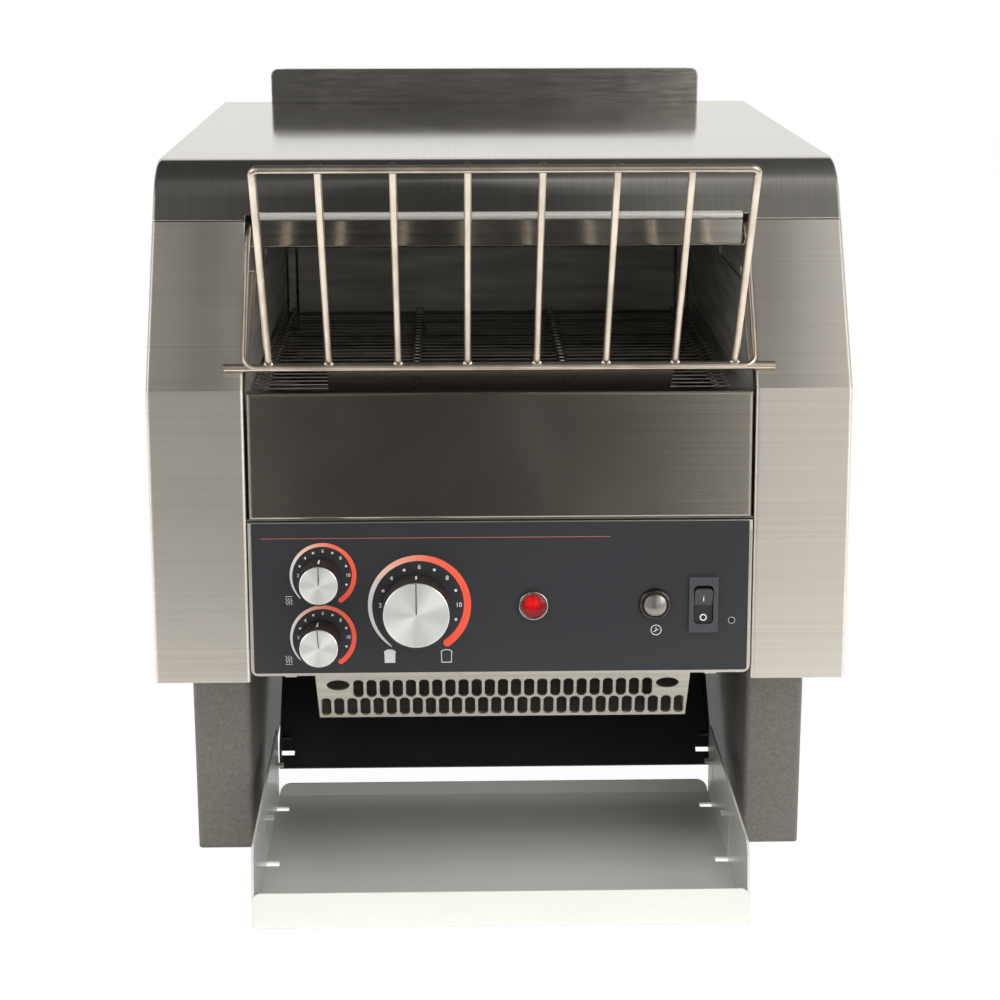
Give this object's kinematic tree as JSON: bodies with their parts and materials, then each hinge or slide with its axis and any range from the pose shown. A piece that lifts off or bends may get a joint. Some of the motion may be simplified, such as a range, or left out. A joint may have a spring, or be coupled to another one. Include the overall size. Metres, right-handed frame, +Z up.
{
  "type": "conveyor toaster",
  "caption": "Countertop conveyor toaster: stainless body on two legs, sloping wire feed rack, wire belt between heating elements, slide and toast tray, dials and switch.",
  "frame": {"origin": "on the counter, under the middle of the outline seen from above", "axes": "+Z up, -Y to the front (the feed rack, controls and toast tray), +X to the right as the user sees it"},
  "size_m": [0.3682, 0.538, 0.4075],
  "materials": {
    "leg_paint": "fine wrinkle powder coat",
    "steel": "mill finish stainless",
    "side_steel": "horizontal brushed stainless",
    "top_steel": "bright stainless, finely brushed",
    "front_steel": "horizontal brushed stainless",
    "oven_steel": "aluminised sheet, dulled by heat",
    "guard_steel": "bright stainless, perforated",
    "tray_steel": "satin stainless",
    "slide_paint": "black enamel",
    "polished": "polished",
    "zinc": "zinc plated",
    "wire": "plated wire",
    "element": "heat-darkened sheath",
    "bronze": "sintered bronze",
    "dark_steel": "oiled steel",
    "motor_paint": "satin black paint",
    "overlay": "satin printed film",
    "knob": "satin black",
    "knob_cap": "spun aluminium",
    "black_plastic": "satin black",
    "lens": "clear red",
    "button": "satin pewter",
    "rocker": "semi-gloss black",
    "indicator": "dark window"
  },
  "bodies": {
    "chassis": {"left_leg": "leg_paint", "right_leg": "leg_paint", "base_plate": "steel", "leg_bolts": "zinc", "left_side_cover": "side_steel", "right_side_cover": "side_steel", "top_cover": "top_steel", "rear_cover": "side_steel", "rear_upstand": "top_steel", "cover_screws": "zinc", "cord_gland": "black_plastic", "left_inner_wall": "oven_steel", "right_inner_wall": "oven_steel", "back_wall": "oven_steel", "heater_housing": "oven_steel", "heater_guard": "polished", "upper_elements": "element", "lower_elements": "element", "element_supports": "oven_steel", "shaft_bearings": "bronze", "conveyor_belt": "wire", "drive_chain": "dark_steel", "gearmotor": "motor_paint", "crumb_shelf": "steel", "control_pan": "steel", "air_guard": "guard_steel", "toast_slide": "slide_paint", "control_panel": "side_steel", "control_overlay": "overlay", "heat_switches": "black_plastic", "speed_control": "black_plastic", "lamp_bezel": "polished", "lamp_lens": "lens", "save_button_bezel": "polished", "rocker_frame": "black_plastic", "indicator_light": "indicator", "terminal_block": "black_plastic", "fan_frame": "black_plastic"},
    "crumb_drawer": {"crumb_tray": "steel", "front_panel": "front_steel"},
    "toast_tray": {"collection_tray": "tray_steel"},
    "feed_rack": {"rack_wires": "wire", "rack_rod": "wire", "rack_hanger": "wire", "rack_ramp": "polished"},
    "upper_heat_dial": {"upper_heat_knob": "knob", "upper_heat_knob_cap": "knob_cap"},
    "lower_heat_dial": {"lower_heat_knob": "knob", "lower_heat_knob_cap": "knob_cap"},
    "speed_dial": {"speed_knob": "knob", "speed_knob_cap": "knob_cap"},
    "power_save_key": {"save_button": "button"},
    "power_switch": {"power_rocker": "rocker"},
    "front_roller": {"front_shaft": "dark_steel", "front_sprockets": "dark_steel"},
    "rear_roller": {"rear_shaft": "dark_steel", "rear_sprockets": "dark_steel", "chain_wheel": "dark_steel"},
    "motor_output": {"motor_pinion": "dark_steel"},
    "fan_wheel": {"fan_rotor": "black_plastic"}
  },
  "joints": [
    {"name": "crumb_drawer_slide", "type": "slide", "parent": "chassis", "child": "crumb_drawer", "axis": [0, -1, 0], "range_m": [0, 0.24]},
    {"name": "toast_tray_slide", "type": "slide", "parent": "chassis", "child": "toast_tray", "axis": [0, -1, 0], "range_m": [0, 0.18]},
    {"name": "feed_rack_swing", "type": "hinge", "parent": "chassis", "child": "feed_rack", "pos_m": [0, -0.145, 0.3526], "axis": [-1, 0, 0], "range_deg": [0, 60]},
    {"name": "upper_heat_turn", "type": "hinge", "parent": "chassis", "child": "upper_heat_dial", "pos_m": [-0.0952, -0.20736, 0.1747], "axis": [0, -0.999, 0.0457], "range_deg": [-135, 135]},
    {"name": "lower_heat_turn", "type": "hinge", "parent": "chassis", "child": "lower_heat_dial", "pos_m": [-0.0957, -0.20891, 0.1409], "axis": [0, -0.999, 0.0457], "range_deg": [-135, 135]},
    {"name": "speed_turn", "type": "hinge", "parent": "chassis", "child": "speed_dial", "pos_m": [-0.0446, -0.20811, 0.1584], "axis": [0, -0.999, 0.0457], "range_deg": [-135, 135]},
    {"name": "power_save_press", "type": "slide", "parent": "chassis", "child": "power_save_key", "axis": [0, 0.999, -0.0457], "range_m": [0, 0.0025], "stiffness_N_per_m": 300},
    {"name": "power_switch_rock", "type": "hinge", "parent": "chassis", "child": "power_switch", "pos_m": [0.1075, -0.20562, 0.15799], "axis": [-1, 0, 0], "range_deg": [0, 14]},
    {"name": "rear_roller_turn", "type": "hinge", "parent": "chassis", "child": "rear_roller", "pos_m": [0, 0.0824, 0.2458], "axis": [-1, 0, 0], "continuous": true},
    {"name": "front_roller_turn", "type": "hinge", "parent": "chassis", "child": "front_roller", "pos_m": [0, -0.1736, 0.2458], "axis": [-1, 0, 0], "continuous": true},
    {"name": "motor_turn", "type": "hinge", "parent": "chassis", "child": "motor_output", "pos_m": [0.13, -0.0956, 0.1556], "axis": [-1, 0, 0], "continuous": true},
    {"name": "fan_turn", "type": "hinge", "parent": "chassis", "child": "fan_wheel", "pos_m": [-0.095, 0.247, 0.205], "axis": [0, 1, 0], "continuous": true}
  ],
  "couplings": [
    {"joint": "front_roller_turn", "follows": "rear_roller_turn", "ratio": 1},
    {"joint": "motor_turn", "follows": "rear_roller_turn", "ratio": 2}
  ]
}
